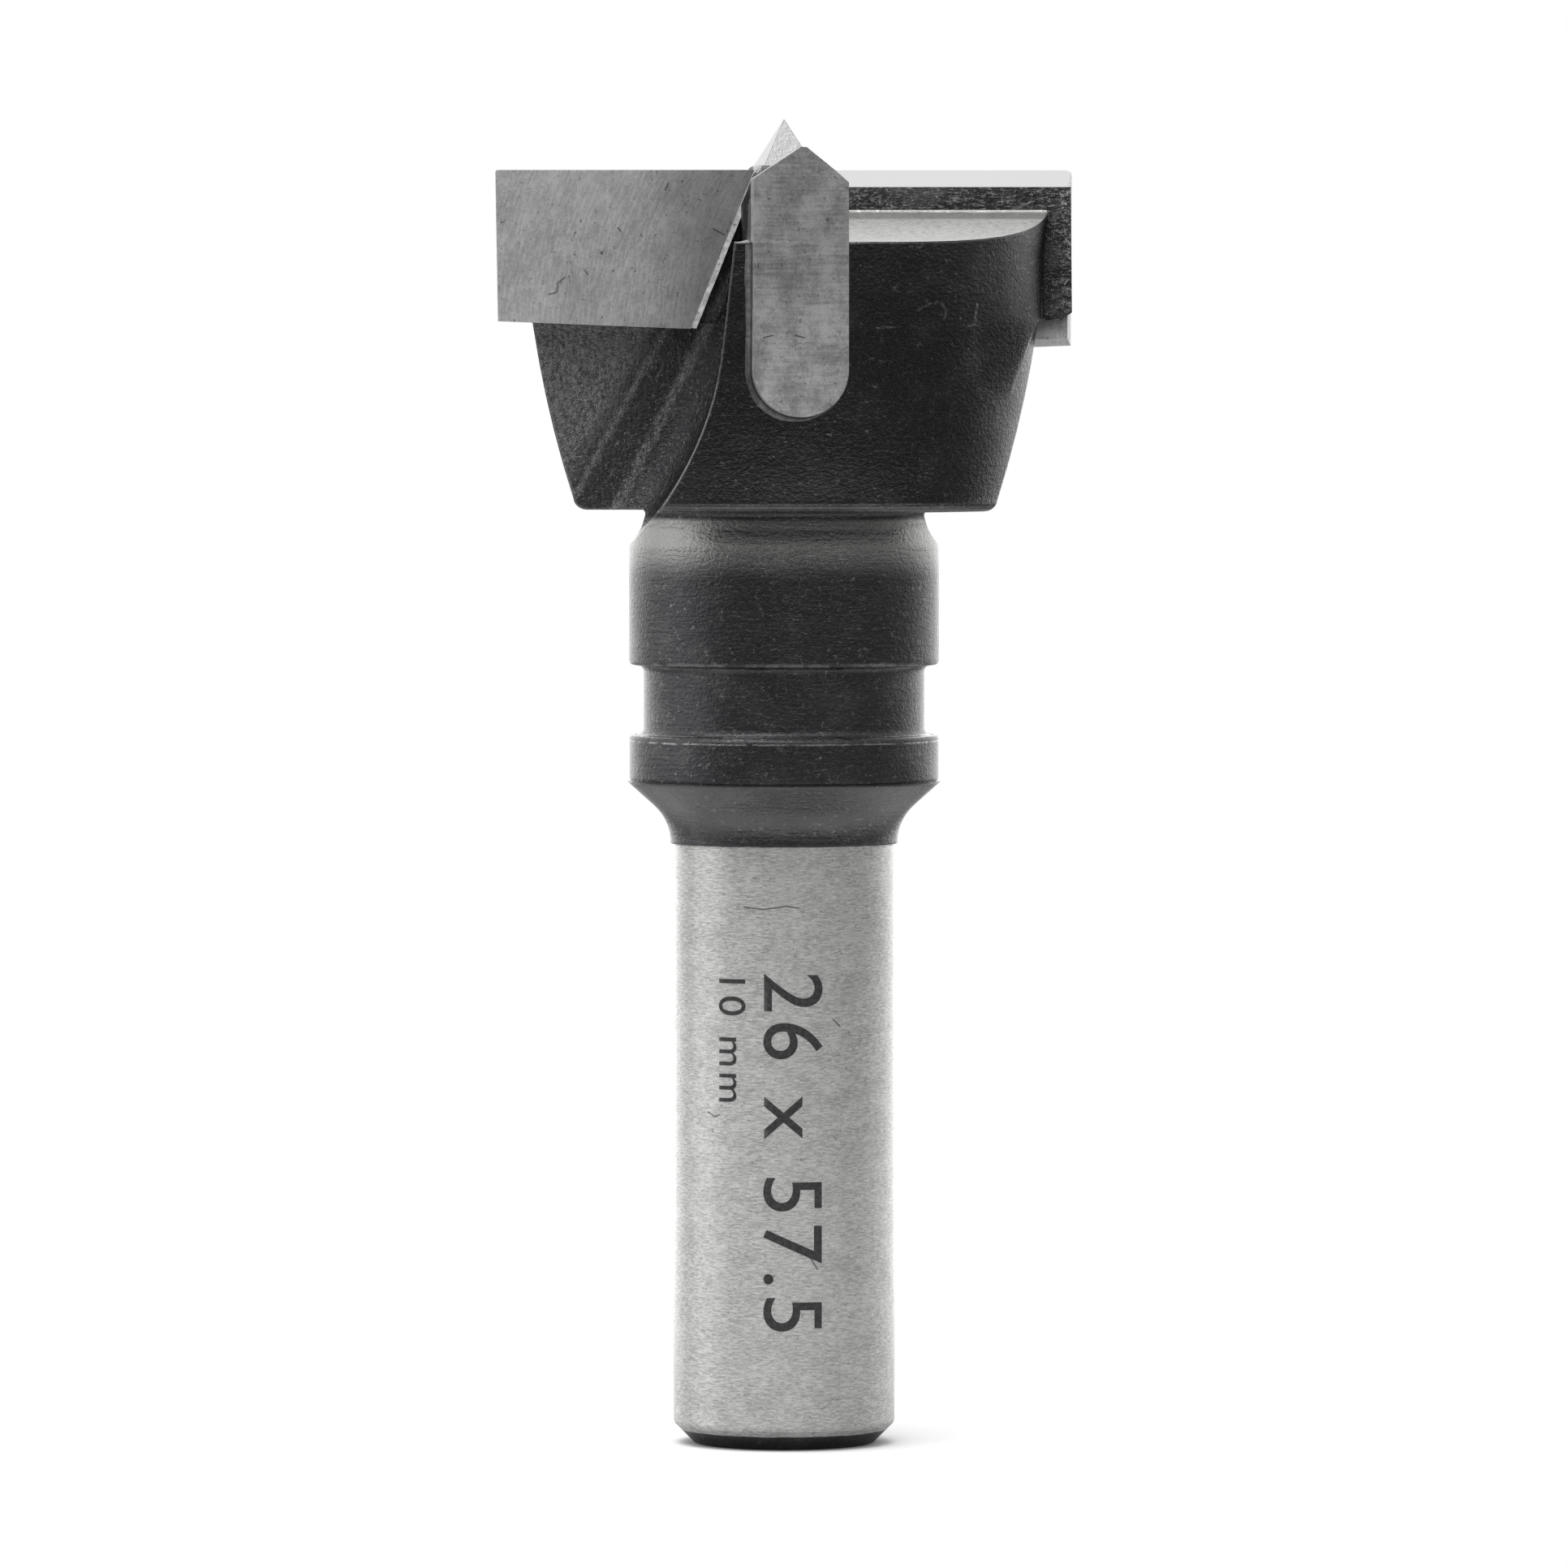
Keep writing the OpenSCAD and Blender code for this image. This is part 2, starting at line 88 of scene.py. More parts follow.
def startMaterial(name):  # an empty material and the function that adds its nodes
    material = bpy.data.materials.new(name)
    material.use_nodes = True
    material.node_tree.nodes.clear()
    return material, partial(addNode, material.node_tree)


def toLinear(hexCode):  # sRGB hex to a linear colour
    parts = [int(hexCode[i:i + 2], 16) / 255 for i in (1, 3, 5)]
    return tuple(c / 12.92 if c <= 0.04045 else ((c + 0.055) / 1.055) ** 2.4 for c in parts) + (1.0,)


# Patterns that the finishes share; add is a tree's own addNode

def placeInMm(add):  # object coordinates in millimetres
    return add("stretch", add("objectPlace"), (1000, 1000, 1000))


def texture(add, place, perMm, detail, roughness, turn=(0, 0, 0)):  # perMm: features per mm on each axis
    return add("noise", add("mapping", place, turn, perMm), 1.0, detail, roughness)


def length(add, u, v):
    return add("sqrt", add("add", add("multiply", u, u), add("multiply", v, v)))


def scratch(add, u, v, ends, width):  # 1 on the line between two places, 0 beyond its width; mm
    (u1, v1), (u2, v2) = ends
    du, dv = u2 - u1, v2 - v1
    pu, pv = add("subtract", u, u1), add("subtract", v, v1)
    share = add("add", add("multiply", pu, du), add("multiply", pv, dv))
    share = add("clampedDivide", share, du * du + dv * dv)
    offU = add("subtract", pu, add("multiply", share, du))
    offV = add("subtract", pv, add("multiply", share, dv))
    square = add("add", add("multiply", offU, offU), add("multiply", offV, offV))
    return add("rise", square, width * width, width * width * 0.2)


def scratches(add, u, v, lines, width):  # any of several polylines
    result = None
    for line in lines:
        for ends in zip(line, line[1:]):
            mask = scratch(add, u, v, ends, width)
            result = mask if result is None else add("maximum", result, mask)
    return result


# Tool steel, turned and milled, blackened in a hot oxide bath, then ground on the shank and the ledges.
# To the eye: a dark satin skin with paler thin places, grey edges that are partly rubbed and partly painted
# highlight, painted highlights in the gullets, and bright steel with short grinding dashes, whose shine
# spreads up and down because the marks run round the axis.

bodyLook = {
    "oxide": "#515153", "oxideThin": "#6e6e6f", "oxideRib": "#303031", "neckTone": "#b4b4b2",
    # the pale grey: wear on the flank's dust and the ribs' beads, and painted highlight in the gullets; the
    # edge grey: partly rubbed steel and partly painted highlight
    "rubbedAndSheen": "#9a9a99", "bareEdgeAndSheen": "#c4c4c2",
    "groundDark": "#b4b4b3", "groundLight": "#ededeb", "fleck": "#fcfcfa",
    "ledgeDark": "#adadab", "ledgeLight": "#d8d8d6", "ledgeRimTone": "#8e8e8d",
    "oxideRoughness": 0.18, "groundRoughness": 0.24, "roughnessSpread": 0.14, "anisotropy": 0.92,
    # heights in mm: the ground shank's ends, the ledges, the head
    "chamferGround": 0.62, "shankTop": 27.14, "ledgeFrom": 53.2, "ledgeTo": 56.3, "headFrom": 42.15,
    "ledgeRim": 2.55, "ribEnd": 12.3,  # distances of the rib's foot and of its outer end from the axis, in mm
    "edgeRound": 0.18, "bumpDepth": 0.045,  # mm
    # edges paler lower down, partly wear and partly painted highlight along the heel edge
    "edgeWearAndSheen": (50.0, 43.5),  # the edges are rubbed more from the first height down to the second
    # painted highlights in the gullets, a band along the fillet and a streak along a cutter step:
    # place at a height, sideways run per mm of height, width, all in mm
    "filletSheen": {"x": -3.7, "z": 50.0, "run": 0.507, "width": 0.1, "soft": 0.32},
    "stepSheen": {"x": -6.42, "z": 48.4, "run": 0.557, "width": 0.02, "soft": 0.3},
    # thin oxide: heights where it begins, is full, and ends
    "neckPale": (39.0, 40.6, 41.7), "conePale": (27.3, 28.2, 29.9), "coneMore": 0.2,
    # rubbed rings: height, half width, strength
    "rims": [(32.06, 0.07, 0.85), (31.78, 0.05, 0.8), (35.24, 0.2, 0.3)],
    # fine marks on the front, across and up: dark hairs on the shank, pale scuffs on the head
    "hairs": [[(-1.8, 24.45), (-0.9, 24.36), (0.1, 24.5), (0.66, 24.42)], [(2.2, 19.4), (2.5, 19.1)],
              [(-3.4, 15.2), (-3.1, 15.0), (-2.9, 15.1)], [(1.2, 8.7), (1.5, 8.2)]],
    "hairWidth": 0.045,
    "scuffs": [[(5.56, 53.95), (5.76, 53.83), (6.08, 53.91)], [(6.96, 51.44), (7.19, 51.12), (7.11, 50.76)],
               [(8.19, 50.45), (8.47, 50.52), (8.58, 51.4)], [(5.92, 51.12), (6.48, 51.4)],
               [(3.93, 50.33), (4.89, 50.37)]],
    "scuffWidth": 0.07,
}

steelTextures = {
    # features per mm on each axis, detail, roughness
    "waves": ((0.9, 0.9, 0.9), 3.0, 0.55),  # how far the grinding reaches, uneven over about 1 mm
    "wander": ((1.6, 1.6, 1.6), 5.0, 0.7),  # cutter marks that don't run quite straight
    "patchy": ((1.3, 1.3, 1.3), 4.0, 0.6),  # edges rubbed in patches of under 1 mm
    "cloudy": ((0.45, 0.45, 0.6), 4.0, 0.6),  # oxide thicker and thinner over 2 mm
    "patches": ((0.6, 0.6, 1.2), 3.0, 0.5),
    "peel": ((5.0, 5.0, 6.5), 3.0, 0.65),  # orange peel of 0.2 mm
    "grit": ((5.5, 5.5, 5.5), 3.0, 0.75),
    "pebbles": ((5.5, 5.5, 4.0), 3.0, 0.75),
    # the next are finer on the real bit, some 0.02 to 0.05 mm, and are drawn as coarse as it takes to show
    "rings": ((0.8, 0.8, 7.0), 3.0, 0.6),  # turning marks
    "dashes": ((2.8, 2.8, 15.0), 4.0, 0.8),  # grinding marks
    "ripples": ((3.4, 8.0, 11.0), 3.0, 0.7),  # rough oxide on the ribs
    "beads": ((7.0, 7.0, 5.0), 2.0, 0.7),
    "mottle": ((3.4, 5.0, 3.0), 5.0, 0.75),
    "specks": ((5.2, 5.2, 7.0), 3.0, 0.8),
    "dust": ((3.4, 3.4, 3.8), 4.0, 0.85),
    "pits": ((4.0, 4.0, 6.5), 2.0, 0.9),
    "flecks": ((3.0, 3.0, 3.6), 3.0, 0.9),
}
# cutter marks, which lean as the gullet's edge does
milledTexture = ((3.6, 1.6, 0.8), 4.0, 0.7, (0, math.radians(-27), 0))


def nearLine(add, across, z, mark):  # 1 on a slanted line, 0 beyond its width; and the distance to its left
    line = add("multiply_add", add("subtract", z, mark["z"]), mark["run"], mark["x"])
    left = add("subtract", line, across)
    return add("rise", add("absolute", left), mark["width"] + mark["soft"], mark["width"]), left


def makeSteel(look):
    material, add = startMaterial("blackOxideToolSteel")
    tone = {key: toLinear(value) for key, value in look.items() if isinstance(value, str)}
    place = placeInMm(add)
    x, y, z = add("split", place)
    normal = add("normal")
    nx, ny, nz = add("split", normal)
    pattern = {name: texture(add, place, *scale) for name, scale in steelTextures.items()}

    # where the surface is turned: seen along the axis, its normal points away from it
    outward, sideways = add("unit", add("join", x, y)), add("unit", add("join", nx, ny))
    turned = add("rise", add("dot", outward, sideways), 0.95, 0.98)
    onHead = add("rise", z, look["headFrom"] - 0.1, look["headFrom"] + 0.1)

    # where it is ground: the shank down to the middle of its chamfer, and the ledges
    wavyZ = add("multiply_add", pattern["waves"], 0.1, z)
    shank = add("multiply", add("rise", wavyZ, look["shankTop"] + 0.07, look["shankTop"] + 0.03),
                add("rise", wavyZ, look["chamferGround"] + 0.05, look["chamferGround"] + 0.11))
    # and the small fillet between a ledge and its rib, which is steeper
    atRib = add("rise", add("absolute", y), look["ledgeRim"] + 0.6, look["ledgeRim"] + 0.4)
    level = add("rise", add("multiply_add", atRib, 0.5, nz), 0.86, 0.93)
    ledge = add("multiply", level, add("rise", z, look["ledgeFrom"], look["ledgeFrom"] + 0.3))
    ledge = add("multiply", ledge, add("rise", z, look["ledgeTo"], look["ledgeTo"] - 0.1))
    ground = add("maximum", shank, ledge)

    # milled faces: across runs towards the gullet's open side, the same way on both sides of the bit
    across = add("multiply", add("multiply", x, add("sign", ny)), -1.0)
    milledHead = add("multiply", add("subtract", 1.0, turned), onHead)
    onGullet = add("multiply", milledHead, add("rise", across, -1.6, -2.2))
    onRib = add("multiply", milledHead, add("rise", across, 1.6, 2.2))
    acrossWavy = add("add", across, add("multiply_add", pattern["wander"], 0.5, -0.25))
    # painted highlights: the gullet's face paler left of the step, where it faces the light, a lighter band
    # on the fillet, where it reflects more, a streak along the step, and glints on the pebbly grain
    filletSheen = nearLine(add, acrossWavy, z, look["filletSheen"])[0]
    stepSheen, leftOfStep = nearLine(add, acrossWavy, z, look["stepSheen"])
    gulletSheen = add("multiply", add("rise", leftOfStep, 0.0, 1.2), 0.8)
    gulletSheen = add("maximum", gulletSheen, add("multiply", filletSheen, 0.8))
    gulletSheen = add("maximum", gulletSheen, add("multiply", stepSheen, 0.75))
    broken = add("rise", pattern["pebbles"], 0.4, 0.56)
    gulletSheen = add("multiply", gulletSheen, add("multiply_add", broken, 0.75, 0.35))
    pebbleGlints = add("multiply", add("rise", pattern["pebbles"], 0.56, 0.64), 0.45)
    gulletSheen = add("maximum", gulletSheen, pebbleGlints)
    gulletSheen = add("multiply", gulletSheen, onGullet)

    # edges: a small round that catches the light, with the oxide rubbed off it and a painted highlight on it,
    # stronger lower down
    softNormal = add("bevel", look["edgeRound"] * mm, samples=4)
    bend = add("dot", softNormal, normal)
    rubbedAndSheen = add("multiply", add("rise", bend, 0.997, 0.93), add("rise", pattern["patchy"], 0.15, 0.5))
    rubbedAndSheen = add("multiply", rubbedAndSheen, add("subtract", 1.0, onRib))
    wearAndSheenShare = add("multiply_add", add("rise", z, *look["edgeWearAndSheen"]), 0.65, 0.35)
    rubbedAndSheen = add("multiply", rubbedAndSheen, add("multiply", wearAndSheenShare, onHead))
    for height, half, amount in look["rims"]:
        ring = add("rise", add("absolute", add("subtract", z, height)), half, half * 0.4)
        ring = add("multiply", add("multiply", ring, turned), amount)
        rubbedAndSheen = add("maximum", rubbedAndSheen, add("multiply", ring, add("rise", pattern["patchy"], 0.35, 0.55)))

    # the oxide's colour: thin places, the pale neck and cone, painted highlights in the gullets, beads on the
    # ribs' ends, wear, and edges paler with wear and with painted highlight
    inFront = add("rise", y, 0.0, -1.0)
    pale = []
    for (low, full, high), soft in ((look["neckPale"], 0.2), (look["conePale"], 0.1)):
        pale.append(add("multiply", add("rise", z, low, full), add("rise", z, high + soft, high)))
    pale = add("maximum", pale[0], add("multiply", pale[1], look["coneMore"]))
    thin = add("multiply", add("rise", pattern["cloudy"], 0.45, 0.75), 0.5)
    thin = add("maximum", thin, add("rise", pattern["specks"], 0.6, 0.72))
    thin = add("maximum", thin, add("multiply", add("rise", pattern["ripples"], 0.5, 0.6), onRib))
    beads = add("rise", add("absolute", x), look["ribEnd"], look["ribEnd"] + 0.3)
    beads = add("multiply", beads, add("rise", pattern["beads"], 0.56, 0.63))
    scuffs = add("multiply", scratches(add, x, z, look["scuffs"], look["scuffWidth"]), inFront)
    scuffs = add("multiply", scuffs, add("rise", pattern["pebbles"], 0.4, 0.55))
    dust = add("maximum", add("rise", pattern["dust"], 0.59, 0.66), scuffs)
    oxide = add("mixColour", onRib, tone["oxide"], tone["oxideRib"])
    oxide = add("mixColour", thin, oxide, tone["oxideThin"])
    oxide = add("mixColour", add("multiply", pale, 0.75), oxide, tone["neckTone"])
    oxide = add("mixColour", gulletSheen, oxide, tone["rubbedAndSheen"])
    oxide = add("mixColour", add("multiply", beads, onRib), oxide, tone["rubbedAndSheen"])
    oxide = add("mixColour", add("multiply", dust, 0.8), oxide, tone["rubbedAndSheen"])
    oxide = add("mixColour", add("multiply", rubbedAndSheen, 0.85), oxide, tone["bareEdgeAndSheen"])

    # the ground steel's colour: dashes, mottled ledges with a grey line at the rib, hairs, pits and flecks
    dashes = pattern["dashes"]
    streaks = add("multiply_add", dashes, 0.85, add("multiply", pattern["patches"], 0.15))
    bright = add("mixColour", add("rise", streaks, 0.36, 0.64), tone["groundDark"], tone["groundLight"])
    mottle = add("rise", pattern["mottle"], 0.36, 0.62)
    onLedge = add("mixColour", mottle, tone["ledgeDark"], tone["ledgeLight"])
    nearRib = add("rise", add("absolute", y), look["ledgeRim"] + 0.3, look["ledgeRim"])
    onLedge = add("mixColour", add("multiply", nearRib, 0.7), onLedge, tone["ledgeRimTone"])
    bright = add("mixColour", ledge, bright, onLedge)
    hairs = add("multiply", scratches(add, x, z, look["hairs"], look["hairWidth"]), inFront)
    bright = add("mixColour", add("multiply", hairs, 0.75), bright, tone["oxide"])
    pits = add("rise", pattern["pits"], 0.37, 0.32)
    bright = add("mixColour", add("multiply", pits, 0.45), bright, tone["oxide"])
    bright = add("mixColour", add("rise", pattern["flecks"], 0.68, 0.72), bright, tone["fleck"])

    # relief: orange peel with rings where turned, slanting cutter marks where milled, dashes where ground
    rings = add("multiply", pattern["rings"], add("multiply_add", onHead, -0.5, 0.8))
    turnedRelief = add("multiply_add", pattern["peel"], 1.3, rings)
    milled = texture(add, add("join", across, y, z), *milledTexture)
    milledRelief = add("multiply_add", milled, 1.2, add("multiply", pattern["grit"], 2.4))
    milledRelief = add("multiply_add", add("multiply", pattern["ripples"], onRib), 4.0, milledRelief)
    groundRelief = add("multiply_add", add("multiply", mottle, ledge), 0.5, dashes)
    relief = add("mixValue", turned, milledRelief, add("multiply", turnedRelief, 0.75))
    relief = add("mixValue", ground, relief, add("multiply", groundRelief, 0.5))

    oxideRoughness = add("multiply_add", pattern["peel"], look["roughnessSpread"], look["oxideRoughness"])
    groundRoughness = add("multiply_add", dashes, look["roughnessSpread"], look["groundRoughness"])
    add("materialOutput", add("principled", more={
        "Base Color": add("mixColour", ground, oxide, bright),
        "Metallic": 1.0,
        "Roughness": add("mixValue", ground, oxideRoughness, groundRoughness),
        "Normal": add("bump", relief, 1.0, look["bumpDepth"] * mm, softNormal),
        "Tangent": add("join", add("multiply", dashes, 0.04), 0.0, 1.0),  # up, a little unsteady
        "Anisotropic": add("multiply", shank, look["anisotropy"]),
    }))
    return material


# Tungsten carbide, sintered and then diamond ground: to the eye a grey satin with fine grinding lines and
# small dark pores, and an even land on top. The lines are drawn coarser than the real 0.02 mm, to show.

carbideLooks = {
    # clouds: how much of the tone they make; shade: how much painted shade darkens a plate towards the axis,
    # where it reflects the spur, and the spur towards its top, between two places in mm; wheel: the centre of
    # a cup wheel whose arcs the lines are, beyond the axis and up, in mm
    "groundCarbidePlate": {
        "dark": "#c4c4c4", "light": "#f8f8f8", "land": "#bdbdbd", "roughness": 0.44, "metallic": 0.24,
        "clouds": 0.35, "shade": 0.45, "axis": 0, "shadeFrom": 3.2, "shadeTo": 7.2, "outline": 0.0,
        "lines": ((9.0, 1.3, 1.0), 4.0, 0.7), "wheel": (12.0, 49.0),
        "scratches": [[(10.6, 51.9), (10.25, 52.01), (10.2, 52.44), (9.9, 52.66)],
                      [(3.19, 54.86), (2.68, 54.57)], [(5.2, 56.9), (5.35, 56.6)],
                      [(7.5, 54.9), (7.35, 54.75)], [(9.0, 53.0), (8.85, 52.8)]]},
    "groundCarbideSpur": {
        "dark": "#a2a2a2", "light": "#e6e6e6", "land": "#8a8a8a", "roughness": 0.42, "metallic": 0.55,
        "clouds": 0.5, "shade": 0.22, "axis": 2, "shadeFrom": 53.0, "shadeTo": 48.0, "outline": 0.0,
        "lines": ((0.4, 0.4, 6.5), 4.0, 0.65), "wheel": None,
        "scratches": [[(0.5, 50.0), (0.9, 49.9)], [(-1.0, 47.9), (-0.5, 48.0)]]},
    "groundCarbidePoint": {
        "dark": "#929292", "light": "#c2c2c2", "land": "#b0b0b0", "roughness": 0.34, "metallic": 1.0,
        "clouds": 0.3, "shade": 0.0, "axis": 0, "shadeFrom": 0.0, "shadeTo": 1.0, "outline": 0.75,
        "lines": ((5.0, 5.0, 0.6), 3.0, 0.6, (0, math.radians(25), 0)), "wheel": None,
        "scratches": [[(-0.9, 58.4), (-0.5, 58.9)]]},
}
carbideGrain = {
    # features per mm on each axis, detail, roughness
    "grain": ((8, 8, 8), 3.0, 0.7), "clouds": ((0.8, 0.8, 0.6), 4.0, 0.65),
    "pores": ((3.8, 3.8, 2.8), 3.0, 0.9),  # larger than real ones, which wouldn't show
    "poreTone": "#3c3c3c", "paintedShadeTone": "#2a2a2a", "outlineTone": "#303030",
    "edgeRound": 0.025, "outlineReach": 0.05, "bumpDepth": 0.03, "scratchWidth": 0.04,  # mm
}


def makeCarbide(name, look, shared):
    material, add = startMaterial(name)
    place = placeInMm(add)
    x, y, z = add("split", place)
    side = add("absolute", x)
    normal = add("normal")
    linesPlace = place
    if look["wheel"]:
        beyond, height = look["wheel"]
        linesPlace = add("join", length(add, add("add", side, beyond), add("subtract", z, height)), z)
    streaks = texture(add, linesPlace, *look["lines"])
    grain, clouds, pores = (texture(add, place, *shared[key]) for key in ("grain", "clouds", "pores"))
    tone = add("multiply_add", grain, 0.25, add("multiply", clouds, look["clouds"]))
    tone = add("multiply_add", streaks, 0.75 - look["clouds"], tone)
    colour = add("mixColour", add("rise", tone, 0.38, 0.62), toLinear(look["dark"]), toLinear(look["light"]))
    pores = add("maximum", add("rise", pores, 0.375, 0.32),
                scratches(add, side, z, look["scratches"], shared["scratchWidth"]))
    colour = add("mixColour", add("multiply", pores, 0.75), colour, toLinear(shared["poreTone"]))
    # painted shade: a plate darker towards the axis, where it reflects the spur, and the spur darker at its
    # top
    paintedShade = add("rise", (side, y, z)[look["axis"]], look["shadeTo"], look["shadeFrom"])
    colour = add("mixColour", add("multiply", paintedShade, look["shade"]), colour, toLinear(shared["paintedShadeTone"]))
    land = add("rise", add("split", normal)[2], 0.35, 0.5)
    colour = add("mixColour", land, colour, toLinear(look["land"]))
    if look["outline"]:  # a thin dark line round the piece's edges
        bend = add("dot", add("bevel", shared["outlineReach"] * mm, samples=4), normal)
        outline = add("multiply", add("rise", bend, 0.995, 0.97), look["outline"])
        colour = add("mixColour", outline, colour, toLinear(shared["outlineTone"]))
    softNormal = add("bevel", shared["edgeRound"] * mm, samples=3)
    add("materialOutput", add("principled", more={
        "Base Color": colour, "Metallic": look["metallic"], "Roughness": look["roughness"],
        "Normal": add("bump", tone, 1.0, shared["bumpDepth"] * mm, softNormal)}))
    return material


steel = makeSteel(bodyLook)
carbide = {name: makeCarbide(name, look, carbideGrain) for name, look in carbideLooks.items()}
finishedNodes = [(steel, ["body"]), (carbide["groundCarbidePoint"], ["centre_point"]),
                 (carbide["groundCarbidePlate"], ["cutting_plate_left", "cutting_plate_right"]),
                 (carbide["groundCarbideSpur"], ["spur_front", "spur_rear"])]
for finish, nodeNames in finishedNodes:
    for nodeName in nodeNames:
        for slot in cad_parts[nodeName].material_slots:
            slot.material = finish
print("materials assigned")


# Pieces of the scene's own; one on the far side of the bit is turned by 180 degrees

def newPiece(name, work, material, smooth=True):  # a bmesh in metres becomes a piece of the part
    mesh = bpy.data.meshes.new(name)
    bmesh.ops.recalc_face_normals(work, faces=work.faces)
    work.to_mesh(mesh)
    work.free()
    mesh.polygons.foreach_set("use_smooth", [smooth] * len(mesh.polygons))
    mesh.materials.append(material)
    piece = bpy.data.objects.new(name, mesh)
    bpy.context.collection.objects.link(piece)
    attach(piece, "root")
    return piece


def turnAbout(degrees):
    return Matrix.Rotation(math.radians(degrees), 4, "Z")


def smoothShare(t):  # 0 to 1 with a soft start and end
    return t * t * (3 - 2 * t)


def skin(work, rows, closed=False):  # faces between rows of points
    for a, b in zip(rows, rows[1:]):
        for k in range(len(a) if closed else len(a) - 1):
            after = (k + 1) % len(a)
            work.faces.new((a[k], a[after], b[after], b[k]))


# the turned flank, as part.scad has it, in mm
head = {"radius": 12.0, "flankRadius": 56.0, "widestZ": 57.0}


def flankRadius(z):
    rise = math.sqrt(head["flankRadius"] ** 2 - (head["widestZ"] - z) ** 2)
    return head["radius"] - head["flankRadius"] + rise


# the rib behind a plate, its fillet and the ledge beside it, as part.scad has them, in mm
rib = {"topZ": 56.72, "topY": 1.102, "footZ": 50.72, "footY": 3.327, "fillet": 0.6, "midRadius": 11.904,
       "ledgeZ": 54.13, "ledgeRadius": 35.0, "ledgeLowY": 11.53}
blend = {
    # steps over the fillet, along the flank, up, and below the foot
    "rounds": 10, "fades": 14, "rows": 20, "feet": 16,
    "reach": 26.0,  # degrees round the flank
    "lift": 0.025, "clear": 0.02, "sink": 0.005,  # mm off the flank, off the ledge and the foot, into the rib
    "footStart": 0.06, "footDrop": 4.0,  # mm below the foot, at the rib and along the flank
}


def ribFace(z):
    return rib["topY"] + (rib["footY"] - rib["topY"]) * (rib["topZ"] - z) / (rib["topZ"] - rib["footZ"])


def ledgeHeight(y):
    drop = math.sqrt(rib["ledgeRadius"] ** 2 - (rib["ledgeLowY"] - y) ** 2)
    return rib["ledgeZ"] + rib["ledgeRadius"] - drop


def ribBlendPoint(z, around, fade):  # around: 0 to 1 over the hollow fillet; fade: 0 to 1 along the flank
    r = rib["fillet"]
    midY = (rib["topY"] + rib["footY"]) / 2 + r
    cx, cy = -math.sqrt((rib["midRadius"] + r) ** 2 - midY ** 2), ribFace(z) + r - blend["sink"]
    last = math.atan2(-midY, -cx)
    a = -math.pi / 2 + (last + math.pi / 2) * around
    x, y = cx + r * math.cos(a), cy + r * math.sin(a)
    if fade == 0:
        return x, y
    a = math.atan2(y, x) - math.radians(blend["reach"]) * fade
    flank = flankRadius(z)
    radius = max(math.hypot(x, y), flank + blend["lift"])
    radius += (flank - blend["lift"] - radius) * smoothShare(fade)
    return radius * math.cos(a), radius * math.sin(a)


def ribFootPoint(around, fade, share):  # share: 0 to 1 down from the rib's foot
    foot = rib["footZ"] + blend["clear"]
    onFlank = smoothShare(min(1.0, fade * 4))
    z = foot - (blend["footStart"] + (blend["footDrop"] - blend["footStart"]) * onFlank) * share
    x, y = ribBlendPoint(foot, around, fade)
    radius = math.hypot(x, y)
    off = (radius - flankRadius(foot)) * (1 - smoothShare(share)) - blend["lift"] * smoothShare(share)
    return x * (flankRadius(z) + off) / radius, y * (flankRadius(z) + off) / radius, z


def ribSidePoint(around, fade, share):  # share: 0 to 1 up to the ledge
    z = foot = rib["footZ"] + blend["clear"]
    for _ in range(6):  # the ledge's height depends on the place itself, which settles in a few rounds
        x, y = ribBlendPoint(z, around, fade)
        z = foot + (ledgeHeight(y) - blend["clear"] - foot) * share
    return x, y, z


def makeRibBlend(name, degrees, material):
    # Smooth blend between a rib's back and the turned flank, running out below the rib's foot
    columns = [(k / blend["rounds"], 0) for k in range(blend["rounds"] + 1)]
    columns += [(1, (k + 1) / blend["fades"]) for k in range(blend["fades"])]
    work = bmesh.new()
    rows = []
    for level in range(-blend["feet"], blend["rows"] + 1):
        if level < 0:
            points = [ribFootPoint(*column, -level / blend["feet"]) for column in columns]
        else:
            points = [ribSidePoint(*column, level / blend["rows"]) for column in columns]
        rows.append([work.verts.new(turnAbout(degrees) @ Vector(point) * mm) for point in points])
    skin(work, rows)
    return newPiece(name, work, material)


# the rake face of a plate, as part.scad has it, in mm and degrees
rakeFace = {"edgeZ": 57.5, "lead": 0.7, "rake": 12.0, "innerX": 1.34, "innerLean": 21.5}
seam = {
    "from": 0.15, "short": 0.2, "wide": 0.24, "waver": 0.005,  # mm
    "steps": 60, "waverStep": 0.37,  # radians a step
    "lengths": {"left": 7.31, "right": 8.42},  # of the plates' inner ends, in mm
}


def rakePoint(across, back, down):  # a point of the left plate's own frame in the object's frame
    a = math.radians(rakeFace["rake"])
    return Vector((across, back * math.cos(a) + down * math.sin(a) - rakeFace["lead"],
                   back * math.sin(a) - down * math.cos(a) + rakeFace["edgeZ"]))


